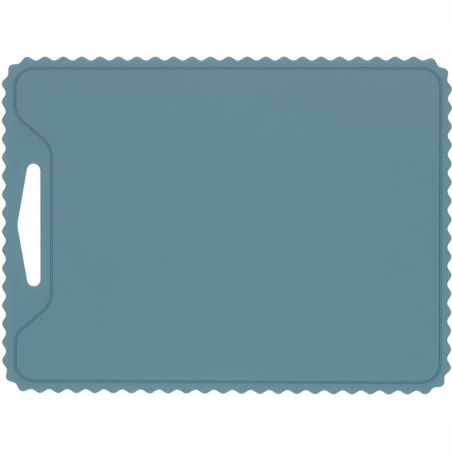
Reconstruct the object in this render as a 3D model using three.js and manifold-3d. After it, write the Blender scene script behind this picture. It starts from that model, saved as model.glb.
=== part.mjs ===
// A silicone cutting board with a scalloped edge, a hand slot at one end and a juice groove that
// steps in round the slot. A thin stiff core lies in a tray-shaped silicone base, keyed on moulded
// pegs, and a silicone cutting face is bonded over the two.
//
// Millimetres, +Z up. The origin is the middle of the underside, +X runs away from the hand slot.

import * as THREE from 'three';
import { mergeVertices } from 'three/addons/utils/BufferGeometryUtils.js';
import Module from 'manifold-3d';

// Size in plan, from tip to tip of the scallops
const LENGTH = 360;
const WIDTH = 270;

// Layers, from the underside up
const BASE_FLOOR = 1;
const CORE_THICKNESS = 1;
const BOND = 0.05; // between faces that are bonded together
const GROOVE_FLOOR = 0.6; // silicone left under the groove
const GROOVE_DEPTH = 1.3;

// Scalloped edge: a wave carried round a rounded rectangle that lies midway between tips and roots
const SCALLOP_COUNT = 82;
const SCALLOP_DEPTH = 3.1;
const SCALLOP_START = 0.769; // first tip, in scallops, from the handle end of the +Y side
const SCALLOP_STEPS = 8;
const END_STRETCH = 1.0064; // length of a scallop on the ends, to one on the long sides
const CORNER_STRETCH = 0.992; // the same for a scallop at a corner
const CORNER_RADIUS = 22;
const EDGE_ROUND = 1;
const EDGE_STEPS = 2;

// Hand slot: straight towards the board, with a blunt nose towards the edge
const SLOT_LENGTH = 98.4;
const SLOT_WIDTH = 18.5;
const SLOT_INSET = 12.4; // scallop tips to the nose
const SLOT_END_RADIUS = 5.5;
const SLOT_NOSE_RADIUS = 16.5;

// Juice groove: insets run from the scallop tips to the groove's centre line
const GROOVE_WIDTH = 2.4;
const GROOVE_WALL = 0.7; // how far each sloped wall runs in from its lip
const GROOVE_SIDE_INSET = 9.6;
const GROOVE_FAR_INSET = 8.65;
const GROOVE_HANDLE_INSET = 10.5;
const GROOVE_CORNER_RADIUS = 15;
const GROOVE_PAST_SLOT = 8.9; // from the slot's straight side
const GROOVE_PAST_SLOT_ENDS = 13.9;
const GROOVE_STEP_RUN = 24.9; // length along Y of each slanted step round the slot
const GROOVE_STEP_OUTER_RADIUS = 16.6;
const GROOVE_STEP_INNER_RADIUS = 19.4;

// Core plate and the pegs that key it
const CORE_RIM = 4; // silicone between the scallop roots and the core
const CORE_SLOT_RIM = 2; // silicone between the hand slot and the core
const CORE_GAP = 0.3; // round the core's edges, in its pocket
const PEG_COLUMNS = 5;
const PEG_ROWS = 4;
const PEG_RADIUS = 4;
const PEG_MARGIN = 22; // peg centres to the core's edges and to the slot

const CURVE_STEPS = 6;
const CUT_OVERLAP = 1; // how far a cutting tool reaches past the face that it cuts

const SILICONE = { color: 0x658996, roughness: 0.6, metalness: 0, flatShading: true };
const GLASS_FIBRE = { color: 0xc8cdb0, roughness: 0.5, metalness: 0, flatShading: true };

// Heights where the layers meet
const coreZ = BASE_FLOOR + BOND;
const partingZ = coreZ + CORE_THICKNESS;
const cuttingFaceZ = partingZ + BOND;
const topZ = cuttingFaceZ + GROOVE_FLOOR + GROOVE_DEPTH;

// Places in plan that more than one piece uses
const endX = LENGTH / 2;
const sideY = WIDTH / 2;
const scallopHeight = SCALLOP_DEPTH / 2;
const slotNoseX = -endX + SLOT_INSET;
const slotStraightX = slotNoseX + SLOT_WIDTH;
const coreInset = SCALLOP_DEPTH + CORE_RIM;
const coreEndX = endX - coreInset;
const coreSideY = sideY - coreInset;

const wasm = await Module();
wasm.setup();

// A closed three.js geometry as a solid that can be cut and joined.
function solidOf(geometry) {
  const bare = geometry.clone();
  bare.deleteAttribute('normal');
  bare.deleteAttribute('uv');
  const merged = mergeVertices(bare);
  const vertProperties = merged.attributes.position.array;
  const triVerts = new Uint32Array(merged.index.array);
  return new wasm.Manifold(new wasm.Mesh({ numProp: 3, vertProperties, triVerts }));
}

function geometryOf(solid) {
  const { vertProperties, triVerts } = solid.getMesh();
  const geometry = new THREE.BufferGeometry();
  geometry.setAttribute('position', new THREE.BufferAttribute(vertProperties, 3));
  geometry.setIndex(new THREE.BufferAttribute(triVerts, 1));
  geometry.computeVertexNormals();
  return geometry;
}

// A flat shape raised between two heights.
function slab(shape, low, high) {
  const geometry = new THREE.ExtrudeGeometry(shape, {
    depth: high - low,
    bevelEnabled: false,
    curveSegments: CURVE_STEPS,
  });
  return geometry.translate(0, 0, low);
}

// A rounded rectangle, clockwise from the handle end of its +Y side.
function roundedRectangle(halfX, halfY, radius) {
  const shape = new THREE.Shape();
  shape.moveTo(-halfX + radius, halfY);
  shape.lineTo(halfX - radius, halfY);
  shape.absarc(halfX - radius, halfY - radius, radius, Math.PI / 2, 0, true);
  shape.absarc(halfX - radius, -halfY + radius, radius, 0, -Math.PI / 2, true);
  shape.absarc(-halfX + radius, -halfY + radius, radius, -Math.PI / 2, -Math.PI, true);
  shape.absarc(-halfX + radius, halfY - radius, radius, Math.PI, Math.PI / 2, true);
  return shape;
}

// The board's outline: a cosine wave, square to the line midway between tips and roots. A run is
// the length of a side, a corner or an end of that line, divided by the stretch of its scallops.
function scallopedOutline() {
  const middle = roundedRectangle(endX - scallopHeight, sideY - scallopHeight, CORNER_RADIUS);
  const stretches = [1, CORNER_STRETCH, END_STRETCH, CORNER_STRETCH];
  const runs = middle.curves.map((curve, i) => curve.getLength() / stretches[i % stretches.length]);
  const wholeRun = runs.reduce((sum, run) => sum + run);
  const points = [];
  for (let step = 0; step < SCALLOP_COUNT * SCALLOP_STEPS; step++) {
    const scallops = step / SCALLOP_STEPS;
    let rest = (((scallops + SCALLOP_START) / SCALLOP_COUNT) % 1) * wholeRun;
    let i = 0;
    while (rest > runs[i] && i < runs.length - 1) {
      rest -= runs[i];
      i++;
    }
    const along = rest / runs[i];
    const tangent = middle.curves[i].getTangent(along);
    const outwards = new THREE.Vector2(-tangent.y, tangent.x);
    const height = scallopHeight * Math.cos(2 * Math.PI * scallops);
    points.push(middle.curves[i].getPoint(along).addScaledVector(outwards, height));
  }
  return new THREE.Shape(points);
}

// The hand slot's outline, or one parallel to it: two round ends and a nose, joined by tangents.
function slotOutline(grow = 0) {
  const endCentreX = slotStraightX - SLOT_END_RADIUS;
  const endCentreY = SLOT_LENGTH / 2 - SLOT_END_RADIUS;
  const noseCentreX = slotNoseX + SLOT_NOSE_RADIUS;
  const toNose = new THREE.Vector2(noseCentreX - endCentreX, -endCentreY);
  const lean = Math.acos((SLOT_END_RADIUS - SLOT_NOSE_RADIUS) / toNose.length());
  const turn = toNose.angle() - lean;
  const endRadius = SLOT_END_RADIUS + grow;
  const noseRadius = SLOT_NOSE_RADIUS + grow;
  const path = new THREE.Path();
  path.absarc(endCentreX, endCentreY, endRadius, 0, turn, false);
  path.absarc(noseCentreX, 0, noseRadius, turn, 2 * Math.PI - turn, false);
  path.absarc(endCentreX, -endCentreY, endRadius, 2 * Math.PI - turn, 2 * Math.PI, false);
  path.closePath();
  return path;
}

// The sharp corners of the groove's centre line, anticlockwise, each with its fillet radius.
function grooveCorners() {
  const farX = endX - GROOVE_FAR_INSET;
  const handleX = -endX + GROOVE_HANDLE_INSET;
  const insideX = slotStraightX + GROOVE_PAST_SLOT;
  const grooveY = sideY - GROOVE_SIDE_INSET;
  const insideY = SLOT_LENGTH / 2 + GROOVE_PAST_SLOT_ENDS;
  const outsideY = insideY + GROOVE_STEP_RUN;
  const upper = [
    [farX, grooveY, GROOVE_CORNER_RADIUS],
    [handleX, grooveY, GROOVE_CORNER_RADIUS],
    [handleX, outsideY, GROOVE_STEP_OUTER_RADIUS],
    [insideX, insideY, GROOVE_STEP_INNER_RADIUS],
  ];
  const lower = upper.map(([x, y, radius]) => [x, -y, radius]).reverse();
  return [...upper, ...lower].map(([x, y, radius]) => ({ at: new THREE.Vector2(x, y), radius }));
}

// Draws a closed line through filleted corners, moved outwards by `offset` and kept parallel.
function drawFilletedLoop(path, corners, offset) {
  corners.forEach(({ at, radius }, i) => {
    const back = corners.at(i - 1).at.clone().sub(at).normalize();
    const ahead = corners[(i + 1) % corners.length].at.clone().sub(at).normalize();
    const halfAngle = Math.acos(back.dot(ahead)) / 2;
    const inwards = back.clone().add(ahead).normalize();
    const centre = at.clone().addScaledVector(inwards, radius / Math.sin(halfAngle));
    const tangentLength = radius / Math.tan(halfAngle);
    const start = at.clone().addScaledVector(back, tangentLength).sub(centre);
    const end = at.clone().addScaledVector(ahead, tangentLength).sub(centre);
    const turnsRight = back.cross(ahead) > 0;
    const movedRadius = turnsRight ? radius - offset : radius + offset;
    path.absarc(centre.x, centre.y, movedRadius, start.angle(), end.angle(), turnsRight);
  });
  path.closePath();
  return path;
}

// The tool that cuts the groove: a ring whose lower edges are chamfered, as the walls are sloped.
function grooveTool() {
  const corners = grooveCorners();
  const ring = drawFilletedLoop(new THREE.Shape(), corners, GROOVE_WIDTH / 2);
  ring.holes.push(drawFilletedLoop(new THREE.Path(), corners, -GROOVE_WIDTH / 2));
  const geometry = new THREE.ExtrudeGeometry(ring, {
    depth: CUT_OVERLAP,
    bevelThickness: GROOVE_DEPTH,
    bevelSize: GROOVE_WALL,
    bevelOffset: -GROOVE_WALL,
    bevelSegments: 1,
    curveSegments: CURVE_STEPS,
  });
  return solidOf(geometry.translate(0, 0, topZ));
}

// Peg centres, spread evenly over the part of the core that lies beyond the slot.
function pegCentres() {
  const firstX = slotStraightX + PEG_MARGIN;
  const lastX = coreEndX - PEG_MARGIN;
  const lastY = coreSideY - PEG_MARGIN;
  const centres = [];
  for (let column = 0; column < PEG_COLUMNS; column++) {
    for (let row = 0; row < PEG_ROWS; row++) {
      const x = THREE.MathUtils.lerp(firstX, lastX, column / (PEG_COLUMNS - 1));
      const y = THREE.MathUtils.lerp(-lastY, lastY, row / (PEG_ROWS - 1));
      centres.push(new THREE.Vector2(x, y));
    }
  }
  return centres;
}

// The core's shape. Grown, it is the pocket that holds the core: wider round the outside and closer
// round the slot and the pegs.
function coreShape(grow = 0) {
  const cornerRadius = CORNER_RADIUS + scallopHeight - coreInset;
  const shape = roundedRectangle(coreEndX + grow, coreSideY + grow, cornerRadius + grow);
  shape.holes.push(slotOutline(CORE_SLOT_RIM - grow));
  for (const { x, y } of pegCentres()) {
    const holeRadius = PEG_RADIUS + CORE_GAP - grow;
    shape.holes.push(new THREE.Path().absarc(x, y, holeRadius, 0, 2 * Math.PI, false));
  }
  return shape;
}

// The whole silicone body with its slot and rounded edges, kept between two heights.
function siliconeLayer(low, high) {
  const outline = scallopedOutline();
  outline.holes.push(slotOutline());
  const body = new THREE.ExtrudeGeometry(outline, {
    depth: topZ - 2 * EDGE_ROUND,
    bevelThickness: EDGE_ROUND,
    bevelSize: EDGE_ROUND,
    bevelOffset: -EDGE_ROUND,
    bevelSegments: EDGE_STEPS,
    curveSegments: CURVE_STEPS,
  });
  const kept = new THREE.BoxGeometry(2 * LENGTH, 2 * WIDTH, high - low);
  kept.translate(0, 0, (low + high) / 2);
  return solidOf(body.translate(0, 0, EDGE_ROUND)).intersect(solidOf(kept));
}

function baseTray() {
  const pocket = solidOf(slab(coreShape(CORE_GAP), BASE_FLOOR, partingZ + CUT_OVERLAP));
  return geometryOf(siliconeLayer(-CUT_OVERLAP, partingZ).subtract(pocket));
}

function corePlate() {
  return slab(coreShape(), coreZ, partingZ);
}

function cuttingFace() {
  return geometryOf(siliconeLayer(cuttingFaceZ, topZ + CUT_OVERLAP).subtract(grooveTool()));
}

function piece(name, geometry, look) {
  const mesh = new THREE.Mesh(geometry, new THREE.MeshStandardMaterial(look));
  mesh.name = name;
  return mesh;
}

const board = new THREE.Group();
board.add(piece('base_tray', baseTray(), SILICONE));
board.add(piece('core_plate', corePlate(), GLASS_FIBRE));
board.add(piece('cutting_face', cuttingFace(), SILICONE));

export default board;
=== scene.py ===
# %% [markdown]
# # A silicone cutting board
#
# The board is a flat slab of grey-blue silicone with a scalloped edge, a hand slot at one end and a
# juice groove that steps in round the slot. Inside lies a stiff plate that nobody sees. The CAD model
# gives the pieces at their real size. This lesson gives the two silicone pieces their fine surface,
# and adds the finishes, the light and the camera.
#
# Everything is in metres in the CAD model's own frame: +Z is up out of the cutting side, +X runs
# away from the hand slot, and the origin is the middle of the underside.

# %% Load the board's solids
import math

import bpy
import numpy as np
from mathutils.geometry import delaunay_2d_cdt
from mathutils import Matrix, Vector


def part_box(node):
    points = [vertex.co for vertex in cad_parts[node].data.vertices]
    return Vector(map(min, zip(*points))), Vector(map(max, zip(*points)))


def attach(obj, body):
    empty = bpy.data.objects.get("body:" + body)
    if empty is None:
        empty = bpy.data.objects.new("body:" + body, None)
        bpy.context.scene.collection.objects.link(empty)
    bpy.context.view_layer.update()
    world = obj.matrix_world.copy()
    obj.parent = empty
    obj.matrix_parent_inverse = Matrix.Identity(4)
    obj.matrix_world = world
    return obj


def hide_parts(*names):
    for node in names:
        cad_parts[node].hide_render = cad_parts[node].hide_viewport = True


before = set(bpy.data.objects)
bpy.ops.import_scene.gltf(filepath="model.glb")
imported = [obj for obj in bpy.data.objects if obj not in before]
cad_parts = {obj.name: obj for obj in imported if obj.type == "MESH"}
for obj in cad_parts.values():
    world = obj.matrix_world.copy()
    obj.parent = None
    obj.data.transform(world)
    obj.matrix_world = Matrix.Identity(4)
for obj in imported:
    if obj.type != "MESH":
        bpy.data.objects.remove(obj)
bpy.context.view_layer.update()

# %% [markdown]
# The frame says how large the board is and at which heights its layers meet. The sizes that it can't
# say, such as the depth of a scallop, are written once here in millimetres and turned into metres.

# %% Sizes that every piece shares
MM = 0.001
face_low, face_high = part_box("cutting_face")
base_low, base_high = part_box("base_tray")
core_low, core_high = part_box("core_plate")

END_X = face_high.x
SIDE_Y = face_high.y
TOP_Z = face_high.z
FACE_UNDERSIDE_Z = face_low.z
PARTING_Z = base_high.z
UNDERSIDE_Z = base_low.z
BOND = FACE_UNDERSIDE_Z - PARTING_Z
POCKET_FLOOR_Z = core_low.z - BOND

SCALLOP_COUNT = 82
SCALLOP_HEIGHT = 1.55 * MM  # tip or root to the line midway between them
SCALLOP_START = 0.769  # first tip, in scallops, from the handle end of the +Y side
END_STRETCH = 1.0064  # length of a scallop on the board's ends to one on its sides
CORNER_STRETCH = 0.992  # the same for its corners
CORNER_RADIUS = 22 * MM
EDGE_ROUND = 1 * MM
SEAM_ROUND = 0.12 * MM  # at the parting line between the two silicone pieces

print("board", 2 * END_X / MM, "x", 2 * SIDE_Y / MM, "x", TOP_Z / MM, "mm, parting at", PARTING_Z / MM)

# %% [markdown]
# ## The camera
#
# The photograph is taken from above and from far away, so the board's sides stay nearly parallel.
# They still close in a hair towards the handle and the bottom of the picture, which says that the
# camera stood to the right of the board's middle and towards its top. A camera without any turn looks
# straight down, so a place, a long lens and three small turns are all that this one needs.

# %% Camera above the board
CAMERA_PLACE = (122.3 * MM, 96.58 * MM, 2711.05 * MM)
CAMERA_TURN_DEGREES = (-2.0477, 2.5879, 0.0346)
LENS_MM = 270  # Blender keeps a lens and a sensor in millimetres
SENSOR_WIDTH_MM = 36

camera_data = bpy.data.cameras.new("camera")
camera_data.lens = LENS_MM
camera_data.sensor_width = SENSOR_WIDTH_MM
camera = bpy.data.objects.new("camera", camera_data)
camera.location = CAMERA_PLACE
camera.rotation_euler = [math.radians(turn) for turn in CAMERA_TURN_DEGREES]
bpy.context.scene.collection.objects.link(camera)
bpy.context.scene.camera = camera
print("camera height", camera.location.z, "m, view", math.degrees(camera_data.angle), "degrees wide")

# %% [markdown]
# ## Lines to carry profiles along
#
# Every edge of the board follows a closed line of arcs and straights: the hand slot, the groove and
# the middle line of the scallops. A curve object could draw each one, but the pieces need to share
# points exactly where they meet, so the lines are arrays. A point of such a line is the centre of its
# arc plus the radius times the outward normal. Along an arc only the normal's angle changes, and
# along a straight only the centre and the radius do, so all of them are linear in the length walked.

# %% Walk along a closed line of arcs and straights
FULL_TURN = 2 * math.pi


def directions(angles):
    """Unit vectors at these angles: (cosine, sine)."""
    return np.stack([np.cos(angles), np.sin(angles)], axis=-1)


def walk(arcs, steps, stretches=1):
    """Points and outward normals at even steps along a closed anticlockwise line.

    Each arc is (centre x, centre y, radius, first angle, last angle), the angles being those of its
    outward normal, and a hollow corner has a negative radius. A point is centre + radius * normal,
    with all three interpolated over the length between the ends of the arcs. Where an arc or the
    straight after it has a stretch, its steps are that much longer than the others.
    """
    arcs = np.asarray(arcs, float)
    ends = np.stack([arcs[:, [0, 1, 2, 3]], arcs[:, [0, 1, 2, 4]]], axis=1).reshape(-1, 4)
    knots = np.vstack([ends, ends[0] + [0, 0, 0, FULL_TURN]])
    corners = knots[:, :2] + knots[:, 2:3] * directions(knots[:, 3])
    lengths = np.linalg.norm(np.diff(corners, axis=0), axis=1)
    lengths[::2] = np.abs(arcs[:, 2] * (arcs[:, 4] - arcs[:, 3]))
    reached = np.concatenate([[0], np.cumsum(lengths / stretches)])
    walked = np.arange(steps) / steps * reached[-1]
    x, y, radius, angle = (np.interp(walked, reached, column) for column in knots.T)
    normals = directions(angle)
    return np.stack([x, y], axis=-1) + radius[:, None] * normals, normals


circle, _ = walk([(0, 0, 1, 0, FULL_TURN)], 8)
print("points of a circle of radius 1 lie at", np.linalg.norm(circle, axis=1), "from its centre")


# %% Round the corners of a closed line
def fillet(corners):
    """Arcs that round the sharp corners (x, y, radius) of an anticlockwise line.

    The normal turns by the angle between the two sides. The centre lies on the corner's bisector,
    radius / cos(half the turn) inside a corner that turns left and outside one that turns right.
    """
    corners = np.asarray(corners, float)
    sides = np.roll(corners[:, :2], -1, axis=0) - corners[:, :2]
    side_angles = np.arctan2(-sides[:, 0], sides[:, 1])
    turns = (side_angles - np.roll(side_angles, 1) + math.pi) % FULL_TURN - math.pi
    last = side_angles[-1] + np.cumsum(turns)
    first = last - turns
    radii = corners[:, 2] * np.sign(turns)
    centres = corners[:, :2] - (radii / np.cos(turns / 2))[:, None] * directions((first + last) / 2)
    return np.column_stack([centres, radii, first, last])


def rectangle(half_x, half_y, radius):
    """A rounded rectangle's arcs, anticlockwise from the handle end of its +Y side."""
    return fillet([
        (-half_x, half_y, radius),
        (-half_x, -half_y, radius),
        (half_x, -half_y, radius),
        (half_x, half_y, radius),
    ])


print("arc centres of a rounded square:", rectangle(3, 3, 1)[:, :2].round(6).tolist())

# %% [markdown]
# ## The scalloped edge
#
# The edge is a wave on the line midway between tips and roots. It could be 82 small round teeth set
# side by side, but one wave has no joints between them, and a whole number of scallops closes it on
# itself. The edge has its own normal, which swings to and fro along the wave, and the rounding of the
# edge follows that one.

# %% The edge and its middle line
SCALLOP_STEPS = 24
EDGE_STEPS = SCALLOP_COUNT * SCALLOP_STEPS


def scalloped_edge():
    """The edge's points and normals, and its middle line's points and normals.

    Edge = middle line + height * cos(2 pi * scallops walked) * normal. The edge's normal is the step
    from the point before to the point after, turned a quarter to the right.
    """
    middle_arcs = rectangle(END_X - SCALLOP_HEIGHT, SIDE_Y - SCALLOP_HEIGHT, CORNER_RADIUS)
    stretches = [CORNER_STRETCH, END_STRETCH, CORNER_STRETCH, 1] * 2
    middle, middle_normals = walk(middle_arcs, EDGE_STEPS, stretches)
    scallops = np.arange(EDGE_STEPS) / SCALLOP_STEPS + SCALLOP_START
    wave = SCALLOP_HEIGHT * np.cos(FULL_TURN * scallops)
    edge = middle + wave[:, None] * middle_normals
    steps = np.roll(edge, -1, axis=0) - np.roll(edge, 1, axis=0)
    normals = np.column_stack([steps[:, 1], -steps[:, 0]]) / np.linalg.norm(steps, axis=1)[:, None]
    return edge, normals, middle, middle_normals


edge, edge_normals, middle, middle_normals = scalloped_edge()
print("edge of", len(edge), "points, box", edge.min(axis=0) / MM, edge.max(axis=0) / MM)

# %% [markdown]
# ## The hand slot
#
# The slot is straight towards the board. Towards the edge two slanted sides meet in a blunt nose,
# which keeps the board centred on a hook. Three arcs say it all, because a straight side always runs
# from the end of one arc to the start of the next.

# %% The hand slot's line
SLOT_LENGTH = 98.4 * MM
SLOT_WIDTH = 18.5 * MM
SLOT_INSET = 12.4 * MM  # scallop tips to the nose
SLOT_END_RADIUS = 5.5 * MM
SLOT_NOSE_RADIUS = 16.5 * MM
SLOT_STEPS = 320

SLOT_NOSE_X = -END_X + SLOT_INSET
SLOT_STRAIGHT_X = SLOT_NOSE_X + SLOT_WIDTH


def slot_arcs():
    """The slot's two round ends and its nose.

    A slanted side touches an end and the nose, so its normal leans from the line between their
    centres by arccos((end radius - nose radius) / distance).
    """
    end_x = SLOT_STRAIGHT_X - SLOT_END_RADIUS
    end_y = SLOT_LENGTH / 2 - SLOT_END_RADIUS
    nose_x = SLOT_NOSE_X + SLOT_NOSE_RADIUS
    to_nose = math.atan2(-end_y, nose_x - end_x) % FULL_TURN
    distance = math.hypot(nose_x - end_x, end_y)
    slant = to_nose - math.acos((SLOT_END_RADIUS - SLOT_NOSE_RADIUS) / distance)
    return [
        (end_x, end_y, SLOT_END_RADIUS, 0, slant),
        (nose_x, 0, SLOT_NOSE_RADIUS, slant, FULL_TURN - slant),
        (end_x, -end_y, SLOT_END_RADIUS, FULL_TURN - slant, FULL_TURN),
    ]


slot, slot_normals = walk(slot_arcs(), SLOT_STEPS)
print("slot box", slot.min(axis=0) / MM, slot.max(axis=0) / MM)

# %% [markdown]
# ## The juice groove
#
# The groove runs inside the edge. At the handle end it leaves the edge on a slant and passes between
# the slot and the cutting field, so that juice can't reach the hand. Its centre line has eight sharp
# corners, which the fillets above make round. A traced curve could follow the photograph as well, but
# corners and radii are sizes that a mould maker would know.

# %% The groove's centre line
GROOVE_SIDE_INSET = 9.6 * MM  # scallop tips to the groove's centre line
GROOVE_FAR_INSET = 8.65 * MM
GROOVE_HANDLE_INSET = 10.5 * MM
GROOVE_PAST_SLOT = 8.9 * MM
GROOVE_PAST_SLOT_ENDS = 13.9 * MM
GROOVE_STEP_RUN = 24.9 * MM
GROOVE_STEP_OUTER_RADIUS = 16.6 * MM
GROOVE_STEP_INNER_RADIUS = 19.4 * MM
GROOVE_CORNER_RADIUS = 15 * MM
GROOVE_STEPS = 1200


def groove_arcs():
    """The groove's eight filleted corners, the lower four mirroring the upper ones."""
    far_x = END_X - GROOVE_FAR_INSET
    handle_x = -END_X + GROOVE_HANDLE_INSET
    inside_x = SLOT_STRAIGHT_X + GROOVE_PAST_SLOT
    groove_y = SIDE_Y - GROOVE_SIDE_INSET
    inside_y = SLOT_LENGTH / 2 + GROOVE_PAST_SLOT_ENDS
    upper = np.array([
        (far_x, groove_y, GROOVE_CORNER_RADIUS),
        (handle_x, groove_y, GROOVE_CORNER_RADIUS),
        (handle_x, inside_y + GROOVE_STEP_RUN, GROOVE_STEP_OUTER_RADIUS),
        (inside_x, inside_y, GROOVE_STEP_INNER_RADIUS),
    ])
    lower = upper[::-1] * (1, -1, 1)
    return fillet(np.vstack([upper, lower]))


groove, groove_normals = walk(groove_arcs(), GROOVE_STEPS)
print("groove box", groove.min(axis=0) / MM, groove.max(axis=0) / MM)

# %% [markdown]
# ## A skin of bands and panels
#
# Each silicone piece is a closed skin of two kinds of surface. A band is a profile carried along one
# of the lines, which gives even rows of quads round every edge. A panel fills the flat space between
# lines. Boolean cuts could make such shapes from blocks, but they leave ragged triangles beside the
# edges, and there light catches. Here neighbours share the points of their common line, so the skin
# is closed from the start. The outer row of a band is flat, so a panel is shaded flat right up to it.

# %% Profiles carried along a line
def carry(line, normals, profile):
    """A profile carried along a line: point + out * normal, at height z, for each (out, z)."""
    out, z = np.asarray(profile, float).T
    plan = line[None] + out[:, None, None] * normals[None]
    heights = np.broadcast_to(z[:, None, None], (*plan.shape[:2], 1))
    return np.concatenate([plan, heights], axis=-1)


def quarter(start, end, steps, hollow=False):
    """A quarter of an ellipse from start to end as rows of (out, z).

    Each row is start + (end - start) * (1 - cos(turn), sin(turn)), so a rounded edge leaves the start
    upright and arrives level. A hollow one swaps the two shares and does the opposite.
    """
    turn = np.linspace(0, math.pi / 2, steps + 1)
    shares = np.column_stack([1 - np.cos(turn), np.sin(turn)])
    start, end = np.array(start), np.array(end)
    return start + (end - start) * (shares[:, ::-1] if hollow else shares)


print("a quarter round of radius 1:", quarter((0, 0), (-1, 1), 2).round(3).tolist())

# %% [markdown]
# A panel has curved sides and holes. One polygon with many corners could fill it, but Blender would
# cut that into long thin faces, so a Delaunay triangulation with fixed sides does it instead, with a
# lattice of further points in wide places. It fills the holes too. Those triangles have all their
# corners on one line, and the order of the corners tells on which side of the line they are.

# %% Triangles between closed lines
SAME_POINT = 1e-7  # in millimetres


def fill(lines, lattice):
    """Triangles between a first line and the lines inside it, as numbers of the points given.

    A triangle with its corners on one line lies inside that line if they follow each other as the
    line does, so that their numbers rise on two of its sides and not on one. It is dropped outside
    the first line and inside the others.
    """
    counts = [len(line) for line in lines]
    rings = np.split(np.arange(sum(counts)), np.cumsum(counts)[:-1])
    sides = np.concatenate([np.column_stack([ring, np.roll(ring, -1)]) for ring in rings])
    plan = np.concatenate([*lines, lattice]) / MM
    _, _, faces, *_ = delaunay_2d_cdt(plan.tolist(), sides.tolist(), [], 0, SAME_POINT, False)
    a, b, c = np.array(faces).T
    owner = np.repeat(np.arange(len(lines) + 1), [*counts, len(lattice)])
    one_line = (owner[a] == owner[b]) & (owner[b] == owner[c]) & (owner[a] < len(lines))
    follows = (a < b).astype(int) + (b < c) + (c < a) == 2
    dropped = one_line & np.where(owner[a] == 0, ~follows, follows)
    return np.column_stack([a, b, c])[~dropped]


NO_LATTICE = np.empty((0, 2))
print("the slot's outline takes", len(fill([slot], NO_LATTICE)), "triangles")


# %% The skin that collects bands and panels
class Skin:
    """The points and faces of one closed surface, kept as arrays."""

    def __init__(self):
        self.points = np.empty((0, 3))
        self.quads = np.empty((0, 4), int)
        self.triangles = np.empty((0, 3), int)

    def add(self, grid):
        """Adds a grid of points and returns their numbers in the same grid."""
        numbers = len(self.points) + np.arange(grid[..., 0].size).reshape(grid.shape[:-1])
        self.points = np.vstack([self.points, grid.reshape(-1, 3)])
        return numbers

    def band(self, grid):
        """Quads between neighbouring rows of points, each row being a closed line.

        Seen against its normal, a band's next row lies to the left of its line. The rows of point
        numbers are returned, so that panels can join the first and the last.
        """
        here = self.add(grid)
        there = np.roll(here, -1, axis=1)
        quads = np.stack([here[:-1], there[:-1], there[1:], here[1:]], axis=-1)
        self.quads = np.vstack([self.quads, quads.reshape(-1, 4)])
        return here

    def panel(self, lines, lattice=NO_LATTICE, facing_up=True):
        """Triangles between a first line of point numbers and the lines inside it, at one height."""
        height = self.points[lines[0][0], 2]
        extra = self.add(np.column_stack([lattice, np.full(len(lattice), height)]))
        numbers = np.concatenate([*lines, extra])
        found = numbers[fill([self.points[line, :2] for line in lines], lattice)]
        self.triangles = np.vstack([self.triangles, found if facing_up else found[:, ::-1]])


slot_wall = Skin()
slot_wall.band(carry(slot, slot_normals, [(0, TOP_Z), (0, UNDERSIDE_Z)]))
print("a plain wall round the slot takes", len(slot_wall.quads), "quads")

# %% [markdown]
# A skin can be tested before it becomes a mesh. It is closed when each side of a face is met by one
# other face, which runs along it the other way. The volume inside is a sum over the same faces, and
# it is positive only if they point outwards.

# %% From a skin to an object
CM = 10 * MM
SHARP_ANGLE = math.radians(40)


def is_closed(skin):
    """Whether the sides of all faces, taken as pairs of points, are their own reverses."""
    sides = [np.stack([faces, np.roll(faces, -1, axis=1)], axis=-1).reshape(-1, 2)
             for faces in (skin.quads, skin.triangles)]
    first, second = np.concatenate(sides).T
    forward = np.sort(first * len(skin.points) + second)
    backward = np.sort(second * len(skin.points) + first)
    return bool(np.all(np.diff(forward) > 0)) and np.array_equal(forward, backward)


def volume(skin):
    """A sixth of the sum of p . (q x r) over all triangles and halves of quads."""
    halves = np.vstack([skin.quads[:, [0, 1, 2]], skin.quads[:, [0, 2, 3]], skin.triangles])
    p, q, r = (skin.points[halves[:, i]] for i in range(3))
    return np.einsum("ij,ij->i", p, np.cross(q, r)).sum() / 6


def moulding(name, skin):
    """The finished piece, shaded smooth apart from its sharp edges."""
    mesh = bpy.data.meshes.new(name)
    mesh.from_pydata(skin.points.tolist(), [], skin.quads.tolist() + skin.triangles.tolist())
    mesh.shade_smooth()
    mesh.set_sharp_from_angle(angle=SHARP_ANGLE)
    piece = bpy.data.objects.new(name, mesh)
    bpy.context.scene.collection.objects.link(piece)
    print(name, len(skin.points), "points, closed:", is_closed(skin), volume(skin) / CM ** 3, "cm3")
    return piece


print("the plain wall round the slot is closed:", is_closed(slot_wall))

# %% [markdown]
# ## The cutting face
#
# The upper silicone piece is what the photograph shows. Its edge is softly rounded where it left the
# mould and almost sharp at the seam below. The groove is a smooth trough, and each side of it swings
# down in an even S from a fine round lip. A block with a groove cut into it would have sharp lips and
# a flat floor, whose hard lines the photograph's softer groove doesn't have. So each of these is a
# profile of (out, z) rows, with out measured along the line's normal.

# %% The profile of an edge
ROUND_STEPS = 6
FLAT_ROW = 0.5 * MM  # width of the flat row between a rounding and a panel


def edge_profile(low_z, high_z, low_round, high_round):
    """Rows of (out, z) up an edge, with a quarter round below and above and a flat row past each."""
    return np.vstack([
        (-low_round - FLAT_ROW, low_z),
        quarter((-low_round, low_z), (0, low_z + low_round), ROUND_STEPS, hollow=True),
        quarter((0, high_z - high_round), (-high_round, high_z), ROUND_STEPS),
        (-high_round - FLAT_ROW, high_z),
    ])


def round_a_hole(profile):
    """The same profile where the silicone lies outside the line: mirrored, and run from the top."""
    return (profile * (-1, 1))[::-1]


face_edge_profile = edge_profile(FACE_UNDERSIDE_Z, TOP_Z, SEAM_ROUND, EDGE_ROUND)
print("edge rows", len(face_edge_profile))

# %% The profile of the groove
GROOVE_LIP_OUT = 1.5 * MM  # centre line to where the lip starts to turn down
GROOVE_DEPTH = 1.3 * MM
GROOVE_WALL_STEPS = 16


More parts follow.
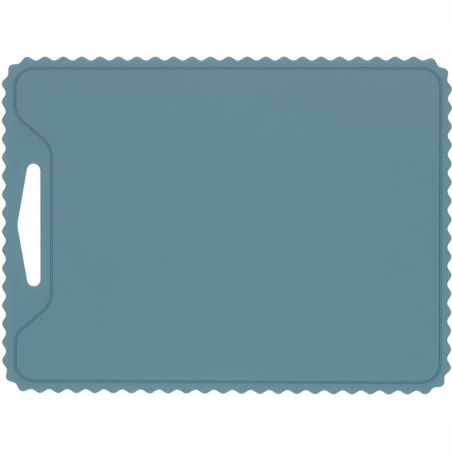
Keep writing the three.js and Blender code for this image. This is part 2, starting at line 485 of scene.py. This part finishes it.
def groove_profile():
    """Rows of (out, z) across the groove, from its outer flat row to its inner one.

    Each side is an even S from the lip, where t is 0, to the middle, where t is 1, and it lies
    depth * (6 t^5 - 15 t^4 + 10 t^3) below the top.
    """
    out = GROOVE_LIP_OUT * np.linspace(1, -1, 2 * GROOVE_WALL_STEPS + 1)
    t = 1 - np.abs(out) / GROOVE_LIP_OUT
    trough = np.column_stack([out, TOP_Z - GROOVE_DEPTH * t ** 3 * (10 + t * (6 * t - 15))])
    flat_out = GROOVE_LIP_OUT + FLAT_ROW
    return np.vstack([(flat_out, TOP_Z), trough, (-flat_out, TOP_Z)])


print("groove rows", len(groove_profile()), "lowest", groove_profile()[:, 1].min() / MM, "mm")

# %% [markdown]
# The cutting field is about 340 mm long, and triangles that reach right across it would catch the
# light as faint stripes. So a lattice of points fills it, and the other wide panels too, a little
# clear of every band.

# %% A lattice for the wide panels
LATTICE_SPACING = 6 * MM
LATTICE_MARGIN = 5 * MM


def lattice_over(spacing):
    """Points of an even triangular lattice over the board, every other row set off by half."""
    rows = np.arange(-SIDE_Y, SIDE_Y, spacing * math.sqrt(3) / 2)
    columns = np.arange(-END_X, END_X, spacing)
    x, y = np.meshgrid(columns, rows)
    x[1::2] += spacing / 2
    return np.column_stack([x.ravel(), y.ravel()])


def inside(points, line):
    """Whether each point is inside a closed line.

    It is if a ray to its right crosses the line an odd number of times.
    """
    x, y = points[:, :1], points[:, 1:]
    (ax, ay), (bx, by) = line.T, np.roll(line, -1, axis=0).T
    crosses = (ay > y) != (by > y)
    rise = np.where(by == ay, 1, by - ay)
    return (crosses & (x < ax + (y - ay) / rise * (bx - ax))).sum(axis=1) % 2 == 1


lattice = lattice_over(LATTICE_SPACING)
edge_clearance = SCALLOP_HEIGHT + EDGE_ROUND + FLAT_ROW + LATTICE_MARGIN
slot_clearance = EDGE_ROUND + FLAT_ROW + LATTICE_MARGIN
groove_clearance = GROOVE_LIP_OUT + FLAT_ROW + LATTICE_MARGIN
clear_of_edge = inside(lattice, middle - edge_clearance * middle_normals)
clear_of_slot = ~inside(lattice, slot + slot_clearance * slot_normals)
outside_groove = ~inside(lattice, groove + groove_clearance * groove_normals)
inside_groove = inside(lattice, groove - groove_clearance * groove_normals)
print("lattice points in the cutting field:", inside_groove.sum())

# %% The cutting face's skin
face_skin = Skin()
face_edge = face_skin.band(carry(edge, edge_normals, face_edge_profile))
face_slot = face_skin.band(carry(slot, slot_normals, round_a_hole(face_edge_profile)))
face_groove = face_skin.band(carry(groove, groove_normals, groove_profile()))

handle_lattice = lattice[clear_of_edge & clear_of_slot & outside_groove]
face_skin.panel([face_edge[-1], face_groove[0], face_slot[0]], handle_lattice)
face_skin.panel([face_groove[-1]], lattice[inside_groove])
face_skin.panel([face_edge[0], face_slot[-1]], facing_up=False)
cutting_face = moulding("cutting_face_moulding", face_skin)

# %% [markdown]
# ## The base tray
#
# The lower silicone piece has the same edge and slot upside down. Its upper side is a pocket for the
# stiff plate, with a rim round the outside, a collar round the slot and pegs that pass through holes
# in the plate. None of that shows on the finished board, but it is what holds the board together.
# Cutting it out of a slab is how one would draw it, and the same bands and panels make it here, so
# that its edge keeps the very points of the cutting face above it.

# %% The pocket, the collar and the pegs
CORE_INSET = END_X - core_high.x  # scallop tips to the plate
CORE_SLOT_RIM = 2 * MM
CORE_GAP = 0.3 * MM
POCKET_STEPS = 480
PEG_COLUMNS = 5
PEG_ROWS = 4
PEG_RADIUS = 4 * MM
PEG_MARGIN = 22 * MM
PEG_STEPS = 48

pocket_arcs = rectangle(
    END_X - CORE_INSET + CORE_GAP,
    SIDE_Y - CORE_INSET + CORE_GAP,
    CORNER_RADIUS + SCALLOP_HEIGHT - CORE_INSET + CORE_GAP,
)
pocket, pocket_normals = walk(pocket_arcs, POCKET_STEPS)
collar = slot + (CORE_SLOT_RIM - CORE_GAP) * slot_normals
peg_x, peg_y = np.meshgrid(
    np.linspace(SLOT_STRAIGHT_X + PEG_MARGIN, END_X - CORE_INSET - PEG_MARGIN, PEG_COLUMNS),
    np.linspace(-1, 1, PEG_ROWS) * (SIDE_Y - CORE_INSET - PEG_MARGIN),
)
print("pocket", np.ptp(pocket, axis=0) / MM, "mm, pegs", peg_x.size)

# %% The base tray's skin
base_skin = Skin()
base_edge_profile = edge_profile(UNDERSIDE_Z, PARTING_Z, EDGE_ROUND, SEAM_ROUND)
base_edge = base_skin.band(carry(edge, edge_normals, base_edge_profile))
base_slot = base_skin.band(carry(slot, slot_normals, round_a_hole(base_edge_profile)))

wall_down = [(0, PARTING_Z), (0, POCKET_FLOOR_Z)]
wall_up = wall_down[::-1]
base_pocket = base_skin.band(carry(pocket, pocket_normals, wall_down))
base_collar = base_skin.band(carry(collar, slot_normals, wall_up))
base_pegs = []
for x, y in zip(peg_x.ravel(), peg_y.ravel()):
    peg, peg_normals = walk([(x, y, PEG_RADIUS, 0, FULL_TURN)], PEG_STEPS)
    base_pegs.append(base_skin.band(carry(peg, peg_normals, wall_up)))

base_skin.panel([base_edge[0], base_slot[-1]], lattice[clear_of_edge & clear_of_slot], facing_up=False)
base_skin.panel([base_edge[-1], base_pocket[0]])
base_skin.panel([base_pocket[-1], base_collar[0], *(peg[0] for peg in base_pegs)])
base_skin.panel([base_collar[-1], base_slot[0]])
for peg in base_pegs:
    base_skin.panel([peg[-1]])
base_tray = moulding("base_tray_moulding", base_skin)

# %% [markdown]
# ## Finishes as expressions
#
# A finish is a little graph of shader nodes. Wiring one by hand hides the sums in a long list of
# links, so one small class wraps a socket and turns Python's operators into Math nodes. Every other
# node comes from one method that takes its type, its settings and its inputs.

# %% Sockets that can be added and multiplied
class Wire:
    """An output socket in a graph of nodes. Operators on it add Math nodes."""

    def __init__(self, graph, socket):
        self.graph = graph
        self.socket = socket

    def math(self, operation, first, second):
        """The result of a Math node on two values or wires."""
        return self.graph.node("ShaderNodeMath", {"operation": operation}, {0: first, 1: second})

    def __add__(self, other):
        return self.math("ADD", self, other)

    def __sub__(self, other):
        return self.math("SUBTRACT", self, other)

    def __rsub__(self, other):
        return self.math("SUBTRACT", other, self)

    def __mul__(self, other):
        return self.math("MULTIPLY", self, other)

    __radd__ = __add__
    __rmul__ = __mul__


operators = [name for name in vars(Wire) if name.endswith(("add__", "sub__", "mul__"))]
print("operators on a wire:", operators)

# %% The graph that they belong to
MIX_SHARE = 0  # a Mix node has sockets A and B for each kind of data, so its colours go by number
MIX_FIRST_COLOUR = 6
MIX_SECOND_COLOUR = 7
MIX_MIXED_COLOUR = 2


class Graph:
    """The nodes of a material or of the world."""

    def __init__(self, owner):
        owner.use_nodes = True
        self.tree = owner.node_tree
        self.tree.nodes.clear()

    def node(self, kind, settings=None, inputs=None, output=0):
        """Adds a node, sets it, gives its inputs values or wires, and returns one of its outputs."""
        node = self.tree.nodes.new(kind)
        for name, value in (settings or {}).items():
            setattr(node, name, value)
        for name, value in (inputs or {}).items():
            if isinstance(value, Wire):
                self.tree.links.new(value.socket, node.inputs[name])
            else:
                node.inputs[name].default_value = value
        return Wire(self, node.outputs[output]) if len(node.outputs) else None

    def place(self):
        """The piece's own coordinates in metres."""
        return self.node("ShaderNodeTexCoord", output="Object")

    def noise(self, scale, detail, roughness=0.5):
        """Noise with features about 1 / scale metres wide."""
        values = {"Vector": self.place(), "Scale": scale, "Detail": detail, "Roughness": roughness}
        return self.node("ShaderNodeTexNoise", None, values, "Fac")

    def mix(self, share, first, second):
        """The colour first + share * (second - first)."""
        values = {MIX_SHARE: share, MIX_FIRST_COLOUR: first, MIX_SECOND_COLOUR: second}
        return self.node("ShaderNodeMix", {"data_type": "RGBA"}, values, MIX_MIXED_COLOUR)

    def bump(self, height, strength, distance):
        """The surface's normal as if it stood out by distance where the height is 1."""
        values = {"Height": height, "Strength": strength, "Distance": distance}
        return self.node("ShaderNodeBump", None, values)


print("a graph's methods:", [name for name in vars(Graph) if not name.startswith("_")])


# %% Colours as shader nodes take them
def linear(red, green, blue):
    """A screen colour of 0 to 255 as the linear colour that shader nodes take.

    Each channel is ((screen + 0.055) / 1.055) ^ 2.4, and screen / 12.92 where it is almost black.
    """
    screen = np.array([red, green, blue]) / 255
    low, high = screen / 12.92, ((screen + 0.055) / 1.055) ** 2.4
    return (*np.where(screen <= 0.04045, low, high).tolist(), 1.0)


print("half of full light is a screen value of 188:", linear(188, 188, 188)[0])

# %% [markdown]
# ## Silicone
#
# Silicone lets a little light through. Along the edge and round the slot light comes in from the side
# too, so the board is paler there, and that fades over a few millimetres. Subsurface scattering could
# work it out from the lamps, but it is slow and an exported model loses it. So this light is painted:
# each point keeps its share of painted light as an attribute of the mesh, and the colour is painted
# paler with it.

# %% Light painted into the colour at the edges
PAINTED_EDGE_LIGHT_REACH = 4 * MM
SLOT_STRIDE = 4  # one point in four of the slot's line is enough to measure from


def painted_edge_light(points):
    """The share of painted edge light at each point in plan: exp(-distance / reach).

    The distance is to the slot's line or to the scallops' middle line, whichever is nearer. The
    middle line runs one corner radius outside the rectangle through its corners' centres, so the way
    to it is that radius less the way past the rectangle, which is negative inside.
    """
    past = np.abs(points) - np.array([END_X, SIDE_Y]) + SCALLOP_HEIGHT + CORNER_RADIUS
    past_rectangle = np.linalg.norm(np.maximum(past, 0), axis=1) + np.minimum(past.max(axis=1), 0)
    to_edge = CORNER_RADIUS - past_rectangle
    to_slot = np.linalg.norm(points[:, None] - slot[None, ::SLOT_STRIDE], axis=-1).min(axis=1)
    return np.exp(-np.maximum(np.minimum(to_edge, to_slot), 0) / PAINTED_EDGE_LIGHT_REACH)


for piece, skin in ((cutting_face, face_skin), (base_tray, base_skin)):
    share = painted_edge_light(skin.points[:, :2])
    piece.data.attributes.new("painted_edge_light", "FLOAT", "POINT").data.foreach_set("value", share)
    print(piece.name, "edge light from", share.min(), "to", share.max())

# %% [markdown]
# The mould is finely blasted, so the silicone comes out of it satin rather than glossy, and its
# pigment is never quite even. Painted pictures could show that, but noise in the piece's own metres
# has no seams and the same grain on every side. Slow noise moves the colour a little, and fine noise
# in a Bump node breaks up the gloss. Silicone's index of refraction is lower than most plastics', so
# it reflects little.

# %% The silicone finish
SILICONE_DEEP = linear(90, 130, 144)
SILICONE_PALE = linear(99, 139, 153)
# painted light: the paler colour that stands in for light coming in at the edge and round the slot
SILICONE_PAINTED_EDGE_LIGHT = linear(104, 143, 156)
SILICONE_IOR = 1.41
CLOUDS_PER_METRE = 14
MOTTLES_PER_METRE = 90
GRAINS_PER_METRE = 2600
CLOUD_SHARE = 0.6  # of the colour's drift, the mottle giving the rest
SATIN_ROUGHNESS = 0.33
MOTTLE_ROUGHNESS = 0.08  # added where the mottle is 1
GRAIN_HEIGHT = 0.03 * MM
GRAIN_STRENGTH = 0.15


def silicone(name):
    """Satin silicone: two noises move its colour, one of them its gloss, and a fine one its normal."""
    material = bpy.data.materials.new(name)
    graph = Graph(material)
    cloud = graph.noise(CLOUDS_PER_METRE, detail=3)
    mottle = graph.noise(MOTTLES_PER_METRE, detail=4, roughness=0.6)
    grain = graph.noise(GRAINS_PER_METRE, detail=2, roughness=0.6)
    share = cloud * CLOUD_SHARE + mottle * (1 - CLOUD_SHARE)
    body = graph.mix(share, SILICONE_DEEP, SILICONE_PALE)
    painted_light_share = graph.node("ShaderNodeAttribute", {"attribute_name": "painted_edge_light"}, output="Fac")
    shader = graph.node("ShaderNodeBsdfPrincipled", None, {
        # painted light: the colour is painted paler towards the edge and the slot
        "Base Color": graph.mix(painted_light_share, body, SILICONE_PAINTED_EDGE_LIGHT),
        "Roughness": SATIN_ROUGHNESS + MOTTLE_ROUGHNESS * mottle,
        "IOR": SILICONE_IOR,
        "Normal": graph.bump(grain, GRAIN_STRENGTH, GRAIN_HEIGHT),
    })
    graph.node("ShaderNodeOutputMaterial", None, {"Surface": shader})
    return material


silicone_finish = silicone("silicone")
for piece in (cutting_face, base_tray):
    piece.data.materials.append(silicone_finish)
print("silicone nodes:", len(silicone_finish.node_tree.nodes))

# %% [markdown]
# ## The stiff plate
#
# The plate inside is pressed from glass cloth and resin. Its CAD solid already has the right shape,
# so it stays and only gets a finish: a pale plate in which the crossing threads just show. Threads
# could be woven as meshes, but they lie flat in the resin, so two crossed waves are enough.

# %% The glass-fibre finish
RESIN = linear(188, 194, 164)
THREAD = linear(212, 216, 190)
THREAD_SCALE = 160  # of the Wave node, which sets how close the threads lie
THREAD_WANDER = 0.4
THREAD_HEIGHT = 0.03 * MM
THREAD_STRENGTH = 0.1
RESIN_ROUGHNESS = 0.55
THREAD_POLISH = 0.15  # taken off the roughness where two threads cross


def glass_fibre(name):
    """Pale resin, in which the product of two crossed waves lightens, polishes and lifts the threads."""
    material = bpy.data.materials.new(name)
    graph = Graph(material)
    threads = {"Vector": graph.place(), "Scale": THREAD_SCALE, "Distortion": THREAD_WANDER}
    warp = graph.node("ShaderNodeTexWave", {"bands_direction": "X"}, threads, "Fac")
    weft = graph.node("ShaderNodeTexWave", {"bands_direction": "Y"}, threads, "Fac")
    weave = warp * weft
    shader = graph.node("ShaderNodeBsdfPrincipled", None, {
        "Base Color": graph.mix(weave, RESIN, THREAD),
        "Roughness": RESIN_ROUGHNESS - THREAD_POLISH * weave,
        "Normal": graph.bump(weave, THREAD_STRENGTH, THREAD_HEIGHT),
    })
    graph.node("ShaderNodeOutputMaterial", None, {"Surface": shader})
    return material


core_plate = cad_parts["core_plate"]
for material_slot in core_plate.material_slots:
    material_slot.material = glass_fibre("glass_fibre")
print("stiff plate's finishes:", [material_slot.name for material_slot in core_plate.material_slots])

# %% [markdown]
# ## Floor and light
#
# The photograph's ground is white paper. A floor bright enough to render white by lamps alone would
# need more light than the board should get, so what the camera sees is mostly the floor's own white.
# A little of the lit paper is mixed in, which keeps the board's shadow. The sky has its own white in
# the same way, for views that look past the floor.

# %% The white floor
WHITE = (1, 1, 1, 1)
PAPER = (0.9, 0.9, 0.9, 1)
FLOOR_GAP = 0.05 * MM
FLOOR_REACH = 6.0  # metres from the board's middle to each side of the floor
FLOOR_OWN_WHITE = 0.95
SEEN_BY = ("Camera", "Glossy", "Transmission")


def sees_white(graph):
    """1 for a ray from the camera, a reflection or a clear piece, and 0 for one that brings light."""
    return sum(graph.node("ShaderNodeLightPath", output=f"Is {kind} Ray") for kind in SEEN_BY)


def paper(name):
    """Paper under the lamps, with its own white mixed in for the rays that see it."""
    material = bpy.data.materials.new(name)
    graph = Graph(material)
    lit = graph.node("ShaderNodeBsdfDiffuse", None, {"Color": PAPER})
    white = graph.node("ShaderNodeEmission", None, {"Color": WHITE, "Strength": 1})
    share = FLOOR_OWN_WHITE * sees_white(graph)
    shader = graph.node("ShaderNodeMixShader", None, {0: share, 1: lit, 2: white})
    graph.node("ShaderNodeOutputMaterial", None, {"Surface": shader})
    return material


floor_mesh = bpy.data.meshes.new("floor")
floor_corners = np.array([(-1, -1), (1, -1), (1, 1), (-1, 1)]) * FLOOR_REACH
floor_points = np.column_stack([floor_corners, np.full(len(floor_corners), UNDERSIDE_Z - FLOOR_GAP)])
floor_mesh.from_pydata(floor_points.tolist(), [], [(0, 1, 2, 3)])
floor_mesh.materials.append(paper("paper"))
floor = bpy.data.objects.new("floor", floor_mesh)
bpy.context.scene.collection.objects.link(floor)
print("floor at", floor_points[0, 2] / MM, "mm")

# %% [markdown]
# The light is two square lamps, one beyond the top of the picture and a weaker one beyond its bottom,
# with very little sky. That is why the groove is darkest where it runs up and down the picture: there
# its walls face neither lamp. The board is a touch warmer towards the top of the photograph, so the
# upper lamp is slightly warm and the lower one slightly cool.

# %% Lamps and sky
LAMP_SIZE = 0.7
LAMP_SHIFT = 0.03  # to the right for the upper lamp and to the left for the lower one
LAMP_REACH = 0.73  # across the floor from the board's middle to below a lamp
LAMP_HEIGHT = 1.02
UPPER_WATTS = 10.1
LOWER_WATTS = 8.0
UPPER_COLOUR = (1.0, 0.87, 0.87)
LOWER_COLOUR = (0.8, 1.0, 1.0)
SKY_STRENGTH = 0.08


def lamp(name, place, power, colour):
    """A square area lamp that faces the middle of the board and is not itself seen."""
    data = bpy.data.lights.new(name, "AREA")
    data.shape = "SQUARE"
    data.size = LAMP_SIZE
    data.energy = power
    data.color = colour
    light = bpy.data.objects.new(name, data)
    light.location = place
    light.rotation_euler = (-light.location).to_track_quat("-Z", "Y").to_euler()
    light.visible_camera = False
    bpy.context.scene.collection.objects.link(light)
    print(name, "at", place, "m,", power, "W")


def sky(name):
    """A dim sky for light, and plain white for the rays that see it."""
    world = bpy.data.worlds.new(name)
    graph = Graph(world)
    dim = graph.node("ShaderNodeBackground", None, {"Color": WHITE, "Strength": SKY_STRENGTH})
    white = graph.node("ShaderNodeBackground", None, {"Color": WHITE, "Strength": 1})
    shader = graph.node("ShaderNodeMixShader", None, {0: sees_white(graph), 1: dim, 2: white})
    graph.node("ShaderNodeOutputWorld", None, {"Surface": shader})
    return world


lamp("upper_lamp", (LAMP_SHIFT, LAMP_REACH, LAMP_HEIGHT), UPPER_WATTS, UPPER_COLOUR)
lamp("lower_lamp", (-LAMP_SHIFT, -LAMP_REACH, LAMP_HEIGHT), LOWER_WATTS, LOWER_COLOUR)
bpy.context.scene.world = sky("sky")
bpy.context.scene.view_settings.view_transform = "Standard"

# %% [markdown]
# ## Hand over
#
# The two silicone pieces stand for their CAD solids, which stay for collision, hidden. The two pieces
# hang on one rigid body.

# %% Bodies and replaced solids
for piece, node in ((cutting_face, "cutting_face"), (base_tray, "base_tray")):
    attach(piece, "root")
    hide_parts(node)
